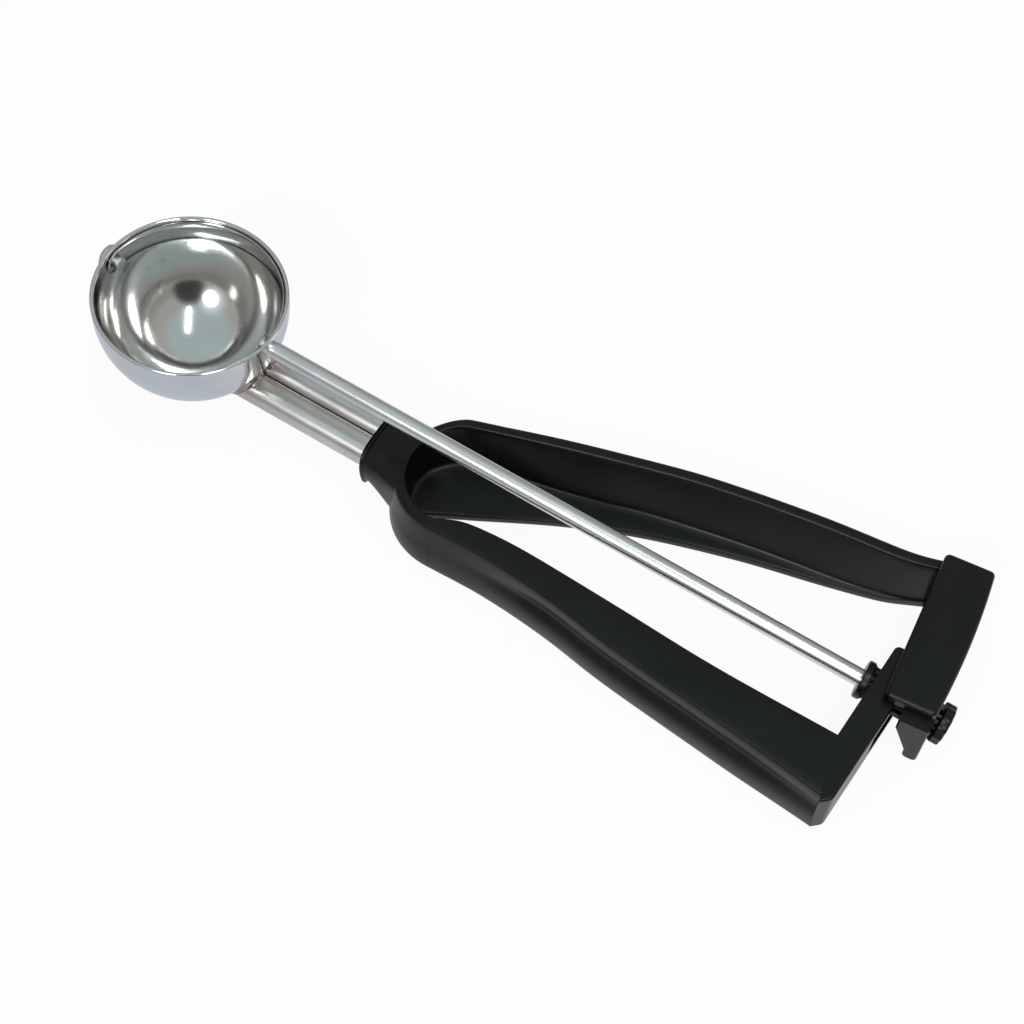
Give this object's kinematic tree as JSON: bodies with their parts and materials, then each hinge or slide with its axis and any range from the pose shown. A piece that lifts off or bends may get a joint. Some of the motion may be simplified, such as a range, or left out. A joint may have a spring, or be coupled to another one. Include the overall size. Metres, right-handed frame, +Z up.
{
  "type": "lever ice cream scoop",
  "caption": "Ice cream scoop with a hemispherical steel bowl, a sweeping scraper blade and a springy plastic squeeze handle that turns the blade through a rack and pinion.",
  "frame": {"origin": "on the flat face that the handle lies on, under the middle of the handle's bend", "axes": "+X from the bowl towards the end block, +Y towards the arm that carries the end block, +Z up from the face that the handle lies on"},
  "size_m": [0.2112, 0.0647, 0.0364],
  "materials": {
    "polished_steel": "polished stainless steel",
    "blade_steel": "polished spring steel",
    "rod_steel": "drawn and lightly polished",
    "shank_steel": "rolled sheet, polished",
    "braze_steel": "heat-tinted bead",
    "black_plastic": "satin moulded plastic"
  },
  "bodies": {
    "frame": {"bowl": "polished_steel", "braze": "braze_steel", "shank": "shank_steel", "handle_yoke": "black_plastic"},
    "near_lever": {"near_arm": "black_plastic", "rack_bar": "black_plastic"},
    "far_lever": {"far_arm": "black_plastic", "end_block": "black_plastic"},
    "spindle": {"rod": "rod_steel", "scraper_blade": "blade_steel", "pivot_rivet": "rod_steel", "pinion": "black_plastic", "end_knob": "black_plastic"}
  },
  "joints": [
    {"name": "near_squeeze", "type": "hinge", "parent": "frame", "child": "near_lever", "pos_m": [0.0127, 0, 0], "axis": [0, 0, 1], "range_deg": [0, 5], "stiffness_Nm_per_rad": 12},
    {"name": "far_squeeze", "type": "hinge", "parent": "frame", "child": "far_lever", "pos_m": [0.0127, 0, 0], "axis": [0, 0, 1], "range_deg": [-4.62, 0], "stiffness_Nm_per_rad": 12},
    {"name": "blade_sweep", "type": "hinge", "parent": "frame", "child": "spindle", "pos_m": [0, 0, 0.0222], "axis": [0.9917, 0, -0.1288], "range_deg": [-159.22, 0]}
  ],
  "couplings": [
    {"joint": "far_squeeze", "follows": "near_squeeze", "ratio": -0.92364},
    {"joint": "blade_sweep", "follows": "near_squeeze", "ratio": -31.845}
  ]
}
